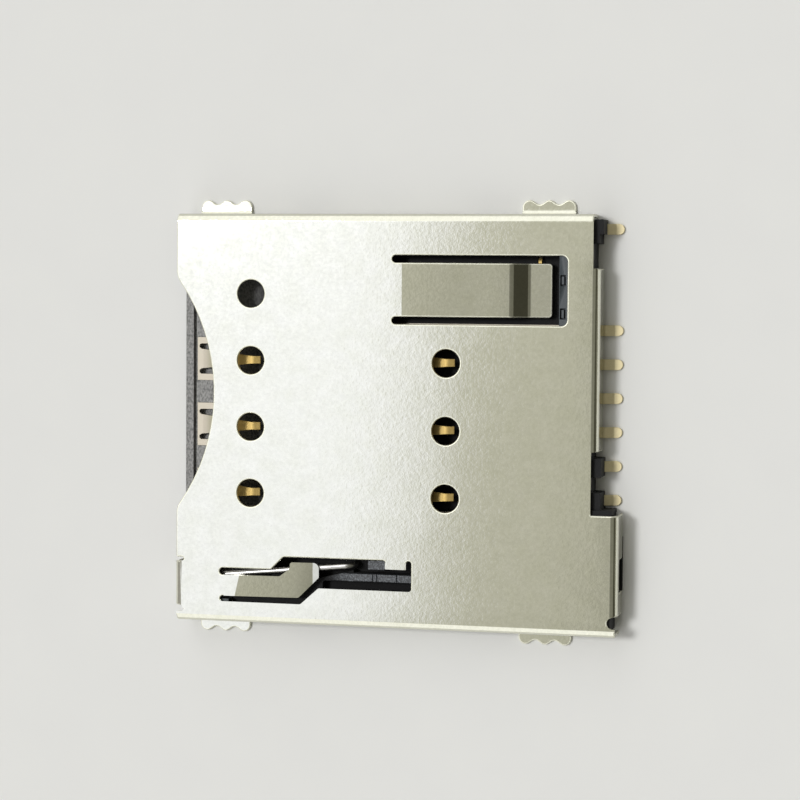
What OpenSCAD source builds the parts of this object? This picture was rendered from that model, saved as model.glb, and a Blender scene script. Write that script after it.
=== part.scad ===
// Push-push socket for a micro SIM card, soldered flat on a circuit board.
// The card goes in along +X, contacts down. The origin is on the board, below the middle of the cover.

/* [Card] */
// Width of the card
card_w = 12; // [11.5:0.1:12.6]
// Thickness of the card
card_t = 0.76; // [0.7:0.02:0.9]
// Play beside the card, on each side
card_gap = 0.1; // [0.05:0.01:0.2]
// Play above the card
slot_gap = 0.09; // [0.05:0.01:0.2]

/* [Contacts] */
// Pitch of the contact rows
row_pitch = 2.54; // [2.46:0.02:2.7]
// Distance between the two columns of contacts
column_pitch = 7.62; // [7.3:0.02:8]
// Distance from the rear column to the card stop
column_inset = 4.225; // [4.1:0.025:4.6]
// How far the contact crests lie in front of the sight holes
crest_back = 0.09; // [0:0.01:0.2]
// Thickness of the contact sheet
strip_t = 0.12; // [0.08:0.01:0.15]
// Width of the contact strips and solder tails
strip_w = 0.4; // [0.3:0.02:0.46]
// Width of a contact plate
plate_w = 1.67; // [1.55:0.01:1.72]
// Length of a tongue, from its root to its crest
tongue_l = 2.23; // [1.9:0.01:2.28]
// Width of a tongue at its root
tongue_w = 0.78; // [0.6:0.02:0.86]
// Width of a tongue at its tip
tip_w = 0.29; // [0.2:0.01:0.5]
// Length of a tongue beyond its crest
tip_l = 0.3; // [0.2:0.01:0.4]
// Width of the slots beside a tongue
tongue_slot = 0.2; // [0.14:0.01:0.24]
// Height of the crests above the floor
tongue_rise = 0.5; // [0.35:0.01:0.6]
// Length of the foot of a solder tail
foot_l = 0.32; // [0.24:0.02:0.4]

/* [Housing] */
// Thickness of the floor
floor_t = 0.5; // [0.46:0.01:0.6]
// Floor left below the contact tongues
pocket_floor = 0.15; // [0.1:0.01:0.2]
// Wall beside the card, away from the slider
side_wall = 0.555; // [0.5:0.005:0.65]
// Distance from the front edge to the front contact column
front_margin = 2.97; // [2.94:0.01:3.1]
// Depth of the card stop, from its face to the outside of the rear wall
stop_block = 1.46; // [1.4:0.01:1.6]
// How far the slider end of the housing reaches past the rear wall
rear_step = 0.775; // [0.75:0.005:0.85]
// Width of the groove behind the front lip
lip_groove = 0.12; // [0.08:0.01:0.16]
// Gap between the housing and the cover's folded walls
fit = 0.05; // [0.02:0.01:0.06]

/* [Cover] */
// Thickness of the cover sheet
sheet = 0.15; // [0.12:0.01:0.18]
// Inside radius of its folds
bend_r = 0.16; // [0.1:0.01:0.2]
// Diameter of the sight holes
hole_d = 1.06; // [0.9:0.02:1.2]
// Radius of the finger cut-out in the front edge
finger_r = 7.3; // [6.8:0.1:8]
// Depth of the finger cut-out
finger_depth = 1.49; // [1.3:0.01:1.55]
// Radius where the cut-out runs into the front edge
finger_round = 0.8; // [0.5:0.05:1.2]
// Width of the card-detect tab
tab_w = 2.03; // [1.8:0.01:2.1]
// Length of the card-detect tab
tab_l = 5.72; // [5.4:0.02:5.9]
// Slots beside the card-detect tab
tab_slot = 0.28; // [0.2:0.01:0.3]
// Fall of the tab, in degrees
tab_fall = 2.5; // [2:0.1:3]
// Depth of the step near the tab's end
tab_step = 0.4; // [0.3:0.01:0.44]
// Reach of the solder tabs beyond the side walls
pad_reach = 0.55; // [0.5:0.01:0.7]
// Pitch of the lobes on a solder tab
lobe_pitch = 0.74; // [0.65:0.01:0.8]
// Depth of the valleys between the lobes
lobe_deep = 0.17; // [0.1:0.01:0.2]
// Radius of the outer corners of a solder tab
lobe_r = 0.28; // [0.2:0.01:0.3]

/* [Ejector] */
// Width of the slider's lane
lane_w = 2.135; // [2.1:0.005:2.3]
// Wall outside the lane
lane_wall = 0.39; // [0.34:0.01:0.45]
// Thickness of the lane's floor
lane_floor = 0.25; // [0.2:0.01:0.28]
// Gap around the slider
slide_gap = 0.05; // [0.03:0.01:0.06]
// Travel of the slider
stroke = 4; // [3.6:0.05:4.2]
// Travel past the locked place
overtravel = 0.5; // [0.4:0.02:0.6]
// Diameter of the cam pin's wire
pin_d = 0.25; // [0.2:0.01:0.26]
// Length of the cam pin, from pivot to tip
pin_l = 5.33; // [5.2:0.01:5.4]
// Swing of the cam pin to each side, in degrees
pin_swing = 5.8; // [5.2:0.1:6]
// Width of the cam groove
groove_w = 0.4; // [0.36:0.01:0.42]
// Outside diameter of the spring
spring_d = 0.98; // [0.9:0.01:1]
// Wire of the spring
spring_wire = 0.16; // [0.12:0.01:0.17]
// Turns of the spring
spring_turns = 11; // [9:1:12]
// Width of the spring arm over the cam pin
arm_w = 0.81; // [0.75:0.01:0.84]
// Slots beside the spring arm
arm_slot = 0.22; // [0.18:0.01:0.24]
// Fall of the spring arm, in degrees
arm_fall = 2.4; // [2:0.1:2.5]
// Reach of the spring arm's head, from the pin's pivot
arm_l = 3.67; // [3.6:0.01:3.7]

/* [Hidden] */
$fn = 48;
// Overlap of a cut past a face
eps = 0.02;
// Reach of a cut well past the part
far = 1;
// Steps in a bend of a folded strip
bend_steps = 6;
// Steps in a lobe of a solder tab
lobe_steps = 12;

// Colours
steel = [0.78, 0.78, 0.72];
bright = [0.7, 0.71, 0.72];
gold = [0.83, 0.68, 0.33];
black = [0.1, 0.1, 0.11];

// Heights of the stack
under_z = floor_t + card_t + slot_gap;
shell_h = under_z + sheet;
sheet_z = under_z + sheet / 2;
seat_gap = 0.02;
top_z = under_z - seat_gap;
wall_lift = 0.2;
strip_z = floor_t - strip_t / 2;
fold_r = bend_r + sheet / 2;
fold_out = bend_r + sheet;
edge_cut = 0.6 * bend_r;

// Places along the card's path
shell_l = front_margin + column_pitch + column_inset + stop_block + rear_step;
front_x = -shell_l / 2;
rear_x = shell_l / 2;
wall_x = rear_x - rear_step;
stop_x = wall_x - stop_block;
rear_col = stop_x - column_inset;
front_col = rear_col - column_pitch;
front_crest = front_col - crest_back;
rear_crest = rear_col - crest_back;
front_face = front_x + fit / 2;
rear_face = wall_x - sheet - fit;
step_face = rear_x - sheet - fit;

// Places across the card's path
channel_w = card_w + 2 * card_gap;
shell_w = 2 * (sheet + fit) + side_wall + channel_w + lane_w + lane_wall;
side_y = shell_w / 2;
flank_y = side_y - sheet - fit;
channel_hi = flank_y - side_wall;
channel_lo = channel_hi - channel_w;
card_y = (channel_hi + channel_lo) / 2;
lane_lo = channel_lo - lane_w;
lane_y = (lane_lo + channel_lo) / 2;
rows = [for (i = [0:3]) card_y + (i - 1.5) * row_pitch];

// Contacts: plate, window round the tongue, and tail
plate_end = 0.13;
tip_gap = 0.25;
bar_w = 0.4;
slot_lead = 0.05;
tongue_fold = 0.25;
tongue_flat = 0.1;
tip_fall = 0.12;
tail_lead = 0.2;
tail_start = stop_x + tail_lead;
tail_drop = 0.25;
tail_exit_z = 0.18;
tail_out = 0.12;
tail_side = wall_x + tail_out;
flange_gap = 0.06;
flange_z = tail_exit_z + strip_t / 2 + flange_gap;
window_half = tongue_w / 2 + tongue_slot;

// Card-detect tab and the terminal below it
detect_reach = 0.33;
detect_end = stop_x + detect_reach;
tab_clear = 0.65;
tab_end = detect_end - tab_clear;
tab_root = tab_end - tab_l;
tab_toe = 0.89;
tab_step_l = 0.61;
tab_bend = 0.33;
tab_inset = 0.795;
tab_hi = channel_hi - tab_inset - tab_slot;
tab_lo = tab_hi - tab_w;
tab_drop = (tab_l - tab_toe - tab_step_l) * tan(tab_fall);
toe_z = sheet_z - tab_drop - tab_step;
touch_gap = 0.01;
finger_w = 0.13;
finger_back = 0.5;
finger_x = tab_end - finger_back;
finger_z = toe_z - sheet / 2 - touch_gap - strip_t / 2;
finger_reach = 0.7;
finger_end = tab_hi - finger_reach;
foot_out = 0.34;
finger_foot = tab_hi + foot_out;
top_out = 0.08;
finger_top = tab_hi + top_out;
strip_cover = 0.14;
detect_y = flank_y - strip_cover - strip_w / 2;
tab_lead = 0.2;
tab_flat = 0.1;
tab_corner = 0.15;
window_corner = 0.22;

// Mouth of the housing, ejector mark in its floor and notches in the card stop
plate_front = front_crest - tongue_l - plate_end;
groove_gap = 0.034;
groove_end = plate_front - groove_gap;
groove_deep = 0.2;
lead_l = 0.14;
lead_h = 0.1;
mark_back = 1.39;
mark_x = front_crest - mark_back;
mark_r = 0.38;
mark_deep = 0.02;
notch_w = 0.4;
notch_l = 0.2;
notch_in = 0.04;
notch_x = stop_x + notch_in;
notch_deep = 0.2;
notch_lo = 0.165;
notch_hi = 0.63;
notch_ys = [tab_lo + notch_lo, tab_hi - notch_hi];
peg_gap = 0.05;

// Rear walls of the cover
flange_side = 0.665;
flange_lo = rows[1] - flange_side;
flange_inset = 1.255;
flange_hi = channel_hi - flange_inset;
step_side = 0.465;
step_y = rows[0] - step_side;
step_wall = 0.17;
corner_in = 0.2;
corner_y = lane_lo + corner_in;
corner_back = 0.3;
corner_w = 0.44;
window_z = 0.45;
edge_back = 0.18;
wall_lead = 0.2;
wall_out = 0.08;
wall_face = wall_x + wall_out;
back_face = rear_x + wall_out;
lug_reach = 0.15;
lug_half = 0.35;
lug_low = 0.55;
lug_gap = 0.1;
lug_z = top_z - lug_gap;
gate_in = 0.85;
gate_lo = corner_y + gate_in;
gate_side = 1.68;
gate_hi = step_y - gate_side;
gate_z = 1;
ledge_side = 0.89;
ledge_hi = step_y - ledge_side;
ledge_z = 0.17;

// Ejector: the cam pin turns on its leg in the front block
pivot_back = 1.625;
pivot_x = front_x + pivot_back;
pivot_side = 0.13;
pivot_y = lane_y + pivot_side;
pin_bend = 0.3;
pin_under = 0.28;
pin_z = under_z - pin_under;
leg_gap = 0.05;
pin_leg_low = lane_floor + leg_gap;
pin_play = 0.02;
tip_rest = [pivot_x + pin_l * cos(pin_swing), pivot_y + pin_l * sin(pin_swing)];
tip_in = [tip_rest.x - stroke, pivot_y - pin_l * sin(pin_swing)];
return_shift = 0.05;
tip_out = [tip_in.x, tip_rest.y - return_shift];
lock_shift = 0.03;
tip_lock = [pivot_x + pin_l - stroke + overtravel, pivot_y - lock_shift];
deck_gap = 0.065;
deck_z = pin_z - pin_d / 2 - deck_gap;
groove_floor = 0.17;
groove_z = lane_floor + groove_floor;
run_out = 0.4;
block_wall = 0.45;
block_back = pivot_x + block_wall;
room_side = 0.3;
room_lo = lane_lo + room_side;

// Slider in its forward place
slider_front = block_back + slide_gap;
slider_lo = lane_lo + slide_gap;
slider_hi = channel_lo - slide_gap;
run_gap = 0.03;
slider_z = lane_floor + run_gap;
roof_gap = 0.07;
slider_top = under_z - roof_gap;
seat_reach = 2.9;
seat_x = tip_rest.x + seat_reach;
seat_wall = 0.4;
stop_gap = 0.04;
push_x = stop_x - stop_gap - stroke;
push_l = 1.2;
push_side = 0.775;
push_y = rows[0] - push_side;
push_gap = 0.03;
push_z = floor_t + push_gap;
push_lead = 0.15;
ridge_h = 0.27;
ridge_z = deck_z + ridge_h;
ridge_out = 0.06;
ridge_lo = pivot_y - ridge_out;
ridge_in = 0.23;
ridge_hi = pivot_y + ridge_in;
ridge_fall = 1;
seam_xs = [0.82, 0.98, 1.76];
seam_w = 0.04;
seam_deep = 0.06;
stud_reach = 0.62;
stud_x = tip_rest.x + stud_reach;
stud_l = 0.68;
stud_gap = 0.17;
stud_lo = ridge_hi + stud_gap;
stud_side = 0.13;
stud_hi = slider_hi - stud_side;
pocket_reach = 1.22;
pocket_x = tip_rest.x - pocket_reach;
pocket_gap = 0.05;
pocket_hi = ridge_lo - pocket_gap;
pocket_wall = 0.12;
pocket_r = 0.1;

// Spring behind the slider
spring_wall = 0.325;
spring_end = step_face - spring_wall;
spring_side = 0.17;
spring_y = slider_lo + spring_side + spring_d / 2;
spring_lift = 0.05;
spring_z = lane_floor + spring_lift + spring_d / 2;
spring_r = (spring_d - spring_wire) / 2;
post_play = 0.12;
post_d = spring_d - 2 * spring_wire - post_play;
post_l = 0.9;
bar_gap = 0.08;
bar_lo = spring_y + spring_d / 2 + bar_gap;
pusher_gap = 0.15;
pusher_side = push_y + pusher_gap;

// Spring arm of the cover and the window round it
arm_side = 0.63;
arm_lo = lane_y - arm_side;
arm_hi = arm_lo + arm_w;
root_reach = 0.26;
arm_root = pivot_x + root_reach;
fold_reach = 0.83;
arm_fold = pivot_x + fold_reach;
open_lead = 0.2;
arm_open = arm_fold - open_lead;
arm_gap_more = 0.045;
arm_gap_hi = arm_slot + arm_gap_more;
arm_skew = 13;
arm_bend = 1;
head_x = pivot_x + arm_l;
head_side = 0.55;
head_hi = arm_hi + head_side;
head_reach = 0.36;
head_end = head_x + head_reach;
head_l = 0.77;
head_diag = 0.44;
head_flat = 0.22;
heel_side = 0.31;
heel_y = arm_hi + heel_side;
heel_l = 0.4;
window_inset = 0.515;
window_end = seat_x - window_inset;
window_gap = 0.215;
window_hi = head_hi + window_gap;
window_side = 0.42;
window_lo = arm_lo + window_side;
diag_back = 0.31;
diag_lo = head_x - diag_back;
diag_ahead = 0.4;
diag_hi = head_x + diag_ahead;
window_r = 0.1;
neck_r = 0.15;
head_r = 0.22;
heel_r = 0.1;
toe_r = 0.08;
tooth_w = 0.81;
tooth_l = 0.33;
tooth_slot = 0.2;
tooth_r = 0.04;
front_tab_side = 0.73;
front_tab_hi = lane_y + front_tab_side;
front_tab_out = 0.15;
front_tab_lo = lane_lo - front_tab_out;
front_tab_z = floor_t + fit;
relief_w = 0.16;
relief_l = 0.22;
tab_side = 0.15;
wall_back = 0.3;
pad_front = 1.575;
pad_rear = 2.84;
pad_xs = [front_x + pad_front, rear_x - pad_rear];
nub_front = 4.2;
nub_rear = 6;
nub_xs = [front_x + nub_front, rear_x - nub_rear];
nub_l = 1.6;
nub_h = 0.42;

// Helpers: boxes, plans and views

module slab(x0, x1, y0, y1) {
    translate([x0, y0]) square([x1 - x0, y1 - y0]);
}

module block(x0, x1, y0, y1, z0, z1) {
    translate([x0, y0, z0]) cube([x1 - x0, y1 - y0, z1 - z0]);
}

// Straight slot with round ends
module slot(a, b, w) {
    along = b - a;
    translate(a) rotate(atan2(along.y, along.x)) translate([0, -w / 2]) square([norm(along), w]);
    translate(a) circle(d = w);
    translate(b) circle(d = w);
}

// Rectangle with its two +X corners rounded
module round_end(x0, x1, y0, y1, r) {
    slab(x0, x1 - r, y0, y1);
    slab(x0, x1, y0 + r, y1 - r);
    for (y = [y0 + r, y1 - r]) translate([x1 - r, y]) circle(r);
}

// Extrudes a plan from z0 to z1
module plan(z0, z1) {
    translate([0, 0, z0]) linear_extrude(z1 - z0) children();
}

// Extrudes a side view, drawn in X and Z, from y0 to y1
module side_view(y0, y1) {
    translate([0, y1, 0]) rotate([90, 0, 0]) linear_extrude(y1 - y0) children();
}

// Extrudes an end view, drawn in Y and Z, from x0 to x1
module end_view(x0, x1) {
    translate([x0, 0, 0]) rotate([90, 0, 90]) linear_extrude(x1 - x0) children();
}

// Folded strips: a path through the middle of the sheet, with an arc at each corner

function unit(v) = v / norm(v);
function left_of(v) = [-v.y, v.x];
function turned(v, a) = [v.x * cos(a) - v.y * sin(a), v.x * sin(a) + v.y * cos(a)];
function reversed(list) = [for (i = [len(list) - 1:-1:0]) list[i]];

// Point at fraction f of the bend at b, d to the left of the path from a by b to c
function bend_point(a, b, c, r, d, f) =
    let (
        u = unit(b - a),
        v = unit(c - b),
        way = cross(u, v) < 0 ? -1 : 1,
        angle = acos(u * v),
        centre = b - r * tan(angle / 2) * u + way * r * left_of(u)
    )
    centre - (r - way * d) * turned(way * left_of(u), way * angle * f);

function strip_side(path, r, d) = concat(
    [path[0] + d * left_of(unit(path[1] - path[0]))],
    [
        for (i = [1:len(path) - 2])
            for (k = [0:bend_steps])
                bend_point(path[i - 1], path[i], path[i + 1], r, d, k / bend_steps)
    ],
    [
        path[len(path) - 1]
            + d * left_of(unit(path[len(path) - 1] - path[len(path) - 2]))
    ]
);

module folded(path, t, r) {
    polygon(concat(strip_side(path, r, t / 2), reversed(strip_side(path, r, -t / 2))));
}

// Outline with an arc at each corner, of the radius listed for it; 0 leaves the corner sharp
function eased(points, radii) =
    let (n = len(points))
    [
        for (i = [0:n - 1])
            let (a = points[(i + n - 1) % n], b = points[i], c = points[(i + 1) % n])
                each radii[i] == 0
                    ? [b]
                    : [for (k = [0:bend_steps]) bend_point(a, b, c, radii[i], 0, k / bend_steps)]
    ];

// Contacts

// Plan of the plate, with the crest at the origin and the root towards -X
module plate_plan() {
    slab(-tongue_l - plate_end, tip_l + tip_gap + bar_w, -plate_w / 2, plate_w / 2);
}

// Plan of the opening round the tongue
module tongue_window() {
    for (s = [-1, 1]) {
        y = s * (tongue_w + tongue_slot) / 2;
        slot([-tongue_l - slot_lead + tongue_slot / 2, y], [0, y], tongue_slot);
    }
    slab(-tongue_l + eps, tip_l + tip_gap, -window_half, window_half);
}

module tongue() {
    crest_z = floor_t + tongue_rise - strip_t / 2;
    intersection() {
        side_view(-tongue_w, tongue_w)
            folded(
                [
                    [-tongue_l - slot_lead, strip_z], [-tongue_l + tongue_flat, strip_z],
                    [0, crest_z], [tip_l, crest_z - tip_fall]
                ],
                strip_t, tongue_fold
            );
        plan(0, under_z)
            polygon([
                [-tongue_l - slot_lead, -tongue_w / 2], [0, -tip_w / 2], [tip_l, -tip_w / 2],
                [tip_l, tip_w / 2], [0, tip_w / 2], [-tongue_l - slot_lead, tongue_w / 2]
            ]);
    }
}

module sprung_plate() {
    plan(floor_t - strip_t, floor_t)
        difference() {
            plate_plan();
            tongue_window();
        }
    tongue();
}

// Plan of the strip from a front plate, round to its place between the rear contacts
module front_strip(row) {
    y = row + row_pitch / 2;
    x0 = front_crest + tip_l + tip_gap;
    slab(x0, x0 + bar_w, row, y + strip_w / 2);
    slab(x0, tail_start, y - strip_w / 2, y + strip_w / 2);
}

module rear_strip(row) {
    slab(rear_crest + tip_l + tip_gap, tail_start, row - strip_w / 2, row + strip_w / 2);
}

// Solder tail: steps down inside the housing, leaves below the rear wall and ends in a foot
module tail(y) {
    intersection() {
        side_view(y - strip_w / 2, y + strip_w / 2)
            folded(
                [
                    [tail_start - eps, strip_z], [tail_start + tail_drop, strip_z],
                    [tail_start + 2 * tail_drop, tail_exit_z], [tail_side, tail_exit_z],
                    [rear_x - foot_l, strip_t / 2], [rear_x, strip_t / 2]
                ],
                strip_t, strip_t
            );
        plan(-eps, floor_t + eps)
            slot([tail_start - strip_w, y], [rear_x - strip_w / 2, y], strip_w);
    }
}

module front_contact(row) {
    color(gold) {
        translate([front_crest, row, 0]) sprung_plate();
        plan(floor_t - strip_t, floor_t) front_strip(row);
        tail(row + row_pitch / 2);
    }
}

module rear_contact(row) {
    color(gold) {
        translate([rear_crest, row, 0]) sprung_plate();
        plan(floor_t - strip_t, floor_t) rear_strip(row);
        tail(row);
    }
}

// Plan of the detect terminal's strip under the side wall
module detect_strip() {
    slab(finger_x - finger_w, tail_start, detect_y - strip_w / 2, detect_y + strip_w / 2);
}

module detect_terminal() {
    color(gold) {
        plan(floor_t - strip_t, floor_t) detect_strip();
        tail(detect_y);
        end_view(finger_x - finger_w / 2, finger_x + finger_w / 2)
            folded(
                [
                    [detect_y, strip_z], [finger_foot, strip_z],
                    [finger_top, finger_z], [finger_end, finger_z]
                ],
                strip_t, strip_t
            );
    }
}

// Housing

module housing_body() {
    // Floor, with the part behind the slider lane reaching further back
    block(front_face, rear_face, -flank_y, flank_y, 0, floor_t);
    block(rear_face - eps, step_face, -flank_y, step_y + step_wall, 0, floor_t);
    // Side wall, card stop and lane wall
    block(front_face + wall_back, rear_face, channel_hi, flank_y, floor_t - eps, top_z);
    block(stop_x, rear_face, pusher_side, channel_hi + eps, floor_t - eps, top_z);
    block(front_x + fold_out, step_face, -flank_y, lane_lo, floor_t - eps, top_z);
    // Front block that holds the cam pin
    block(front_x + fold_out, block_back, lane_lo - eps, channel_lo, floor_t - eps, top_z);
    // Rear wall behind the spring, and its return to the card stop
    block(spring_end, step_face, lane_lo - eps, step_y + step_wall, lane_floor, top_z);
    block(rear_face - eps, step_face, pusher_side, step_y + step_wall, floor_t - eps, top_z);
    block(step_face - eps, rear_x - edge_back, step_y + eps, step_y + step_wall, 0, top_z);
    // Lugs round the tails that leave beside the cover's rear wall
    for (y = [rows[0], rows[0] + row_pitch / 2])
        block(rear_face - eps, wall_x + lug_reach, y - lug_half, y + lug_half, 0, lug_z);
    block(rear_face - eps, wall_x + lug_reach, detect_y - strip_w / 2, flank_y, 0, lug_z);
    block(rear_face - eps, wall_x, detect_y - lug_low, detect_y, 0, lug_z);
    // Ledge below the rear wall of the cover
    block(step_face - eps, back_face, gate_lo, ledge_hi, 0, ledge_z);
    // Locating post of the spring
    translate([spring_end - post_l, spring_y, spring_z])
        rotate([0, 90, 0]) cylinder(d = post_d, h = post_l + eps);
}

// Snap nubs for the windows in the cover's walls: flat below, sloped above
module nub_section(reach) {
    polygon([[-eps, 0], [reach, 0], [reach, nub_h / 4], [0, nub_h], [-eps, nub_h]]);
}

module nubs() {
    reach = sheet + fit - eps;
    for (x = nub_xs)
        for (s = [0, 1])
            mirror([0, s, 0])
                translate([0, flank_y, window_z]) end_view(x, x + nub_l) nub_section(reach);
}

module contact_cuts() {
    for (row = [rows[0], rows[1], rows[2]]) {
        plan(floor_t - strip_t, floor_t + eps) {
            for (x = [front_crest, rear_crest]) translate([x, row]) plate_plan();
            front_strip(row);
            rear_strip(row);
        }
        plan(pocket_floor, floor_t)
            for (x = [front_crest, rear_crest]) translate([x, row]) tongue_window();
        tail(row);
        tail(row + row_pitch / 2);
    }
    // Detect terminal, with a pocket that its finger can bend into
    plan(floor_t - strip_t, floor_t) detect_strip();
    tail(detect_y);
    block(
        finger_x - finger_w, finger_x + finger_w, finger_end - finger_w, detect_y,
        pocket_floor, floor_t + eps
    );
}

module housing() {
    color(black)
        difference() {
            union() {
                housing_body();
                nubs();
            }
            // Lane of the slider and its spring
            difference() {
                block(block_back, spring_end, lane_lo, channel_lo, lane_floor, under_z + eps);
                translate([spring_end - post_l, spring_y, spring_z])
                    rotate([0, 90, 0]) cylinder(d = post_d, h = post_l + eps);
            }
            // Room for the swinging wire over the front block, and the bore for its leg
            block(
                pivot_x - pin_d, block_back + eps, room_lo, channel_lo + eps,
                pin_z - pin_bend - pin_play, under_z + eps
            );
            translate([pivot_x, pivot_y, pin_leg_low - pin_play])
                cylinder(d = pin_d + 2 * pin_play, h = under_z);
            contact_cuts();
            // Long top edges, eased to clear the cover's folds
            for (s = [0, 1])
                mirror([0, s, 0])
                    end_view(front_x, back_face)
                        polygon([
                            [flank_y - edge_cut - eps, top_z + eps],
                            [flank_y + eps, top_z - edge_cut - eps], [flank_y + eps, top_z + eps]
                        ]);
            // Groove behind the front lip, and its lead-in for the card
            block(
                groove_end - lip_groove, groove_end, channel_lo + lip_groove, channel_hi - lip_groove,
                floor_t - groove_deep, floor_t + eps
            );
            side_view(channel_lo, channel_hi)
                polygon([
                    [front_face - eps, floor_t - lead_h], [front_face + lead_l, floor_t + eps],
                    [front_face - eps, floor_t + eps]
                ]);
            // Notches in the top of the card stop, each with a peg, seen through the detect window
            for (y = notch_ys)
                translate([notch_x, y - notch_w / 2])
                    plan(top_z - notch_deep, under_z)
                        difference() {
                            square([notch_l, notch_w]);
                            slab(peg_gap, notch_l - peg_gap, peg_gap, notch_w - peg_gap);
                        }
            // Ejector mark in the floor between the first contacts
            translate([mark_x, card_y, floor_t - mark_deep]) cylinder(r = mark_r, h = far);
        }
}

// Cover

// End view of the folded sheet: top and two side walls
module arch(half, low, top, r) {
    slab(-half, half, low, top - r);
    slab(-half + r, half - r, low, top);
    for (s = [-1, 1]) translate([s * (half - r), top - r]) circle(r);
}

module finger_cut() {
    centre = [front_x + finger_depth - finger_r, card_y];
    reach = finger_r + finger_round;
    rise = sqrt(pow(reach, 2) - pow(front_x + finger_round - centre.x, 2));
    joint = finger_r / reach * [front_x + finger_round - centre.x, rise];
    translate(centre) circle(finger_r, $fn = 180);
    difference() {
        polygon([
            [front_x - far, card_y - rise], [front_x - far, card_y + rise], [front_x, card_y + rise],
            centre + joint, [centre.x + joint.x, card_y - joint.y], [front_x, card_y - rise]
        ]);
        for (s = [-1, 1])
            translate([front_x + finger_round, card_y + s * rise]) circle(finger_round);
    }
}

module detect_window() {
    round_end(tab_root, detect_end, tab_lo - tab_slot, tab_hi + tab_slot, window_corner);
    for (y = [tab_lo - tab_slot / 2, tab_hi + tab_slot / 2])
        slot([tab_root - tab_slot / 2, y], [tab_root + tab_slot, y], tab_slot);
}

// Window round the spring arm, with a tooth that reaches over the slider
module cam_window() {
    tooth_x = window_end - tooth_slot;
    tooth_y = window_hi - tooth_l;
    slot_lo = arm_lo - arm_slot;
    slot_hi = arm_hi + arm_gap_hi;
    neck_x = head_x - head_l - arm_slot;
    polygon(eased(
        [
            [arm_open, slot_lo], [diag_lo, slot_lo], [diag_hi, window_lo],
            [window_end, window_lo], [window_end, window_hi],
            [tooth_x, window_hi], [tooth_x, tooth_y],
            [tooth_x - tooth_w, tooth_y], [tooth_x - tooth_w, window_hi],
            [neck_x, window_hi], [neck_x - (window_hi - slot_hi), slot_hi], [arm_open, slot_hi]
        ],
        [0, neck_r, window_r, window_r, window_r, window_r, tooth_r, tooth_r, window_r, neck_r, neck_r, 0]
    ));
    slot([arm_root, arm_lo - arm_slot / 2], [arm_open + eps, arm_lo - arm_slot / 2], arm_slot);
    slot([arm_root, arm_hi + arm_gap_hi / 2], [arm_open + eps, arm_hi + arm_gap_hi / 2], arm_gap_hi);
}

// Spring arm over the cam pin: falls from a slanting fold, and its tip is bent level again
module spring_arm() {
    fall_l = head_end - head_flat - arm_fold;
    tip_z = sheet_z - fall_l * tan(arm_fall);
    diag_x = head_x - head_diag;
    intersection() {
        translate([arm_fold, (arm_lo + arm_hi) / 2, 0])
            rotate(-arm_skew)
                side_view(-2 * far, 2 * far)
                    folded(
                        [[-far, sheet_z], [0, sheet_z], [fall_l, tip_z], [fall_l + far, tip_z]],
                        sheet, arm_bend
                    );
        plan(0, shell_h + eps)
            polygon(eased(
                [
                    [arm_root, arm_lo], [diag_x, arm_lo], [head_end, arm_lo + head_end - diag_x],
                    [head_end, head_hi], [head_x - head_l, head_hi], [head_x - head_l, heel_y],
                    [head_x - head_l - heel_l, arm_hi], [arm_root, arm_hi]
                ],
                [0, neck_r, toe_r, head_r, heel_r, heel_r, neck_r, 0]
            ));
    }
}

module detect_tab() {
    step_x = tab_end - tab_toe - tab_step_l;
    intersection() {
        side_view(tab_lo, tab_hi)
            folded(
                [
                    [tab_root - tab_lead, sheet_z], [tab_root + tab_flat, sheet_z],
                    [step_x, sheet_z - tab_drop], [tab_end - tab_toe, toe_z], [tab_end, toe_z]
                ],
                sheet, tab_bend
            );
        plan(0, shell_h + eps) round_end(tab_root - tab_lead, tab_end, tab_lo, tab_hi, tab_corner);
    }
}

// Lobed edge of a solder tab, from its middle to one side, with the crests at y = 0
function half_edge(way) = concat(
    [
        for (k = [0:lobe_steps - 1])
            [way * lobe_pitch * k / lobe_steps, lobe_deep / 2 * (cos(360 * k / lobe_steps) - 1)]
    ],
    [
        for (k = [0:bend_steps])
            let (a = 90 * k / bend_steps)
                [way * (lobe_pitch + lobe_r * sin(a)), lobe_r * (cos(a) - 1)]
    ],
    [[way * (lobe_pitch + lobe_r), -pad_reach - sheet]]
);

// Solder tab at the foot of the +Y side wall
module solder_tab(x) {
    w = 2 * (lobe_pitch + lobe_r);
    out_y = side_y + pad_reach;
    intersection() {
        end_view(x - w / 2, x + w / 2)
            folded(
                [
                    [side_y - sheet / 2, wall_lift + fold_out], [side_y - sheet / 2, sheet / 2],
                    [out_y, sheet / 2]
                ],
                sheet, fold_r
            );
        plan(-eps, shell_h) translate([x, out_y]) polygon(concat(half_edge(1), reversed(half_edge(-1))));
    }
}

// Wall folded down from the sheet across X: its outer face is at x, on the side that way points to
module end_wall(x, way, y0, y1, z0) {
    mid = x - way * sheet / 2;
    side_view(y0, y1)
        folded([[x - way * (fold_out + wall_lead), sheet_z], [mid, sheet_z], [mid, z0]], sheet, fold_r);
}

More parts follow.
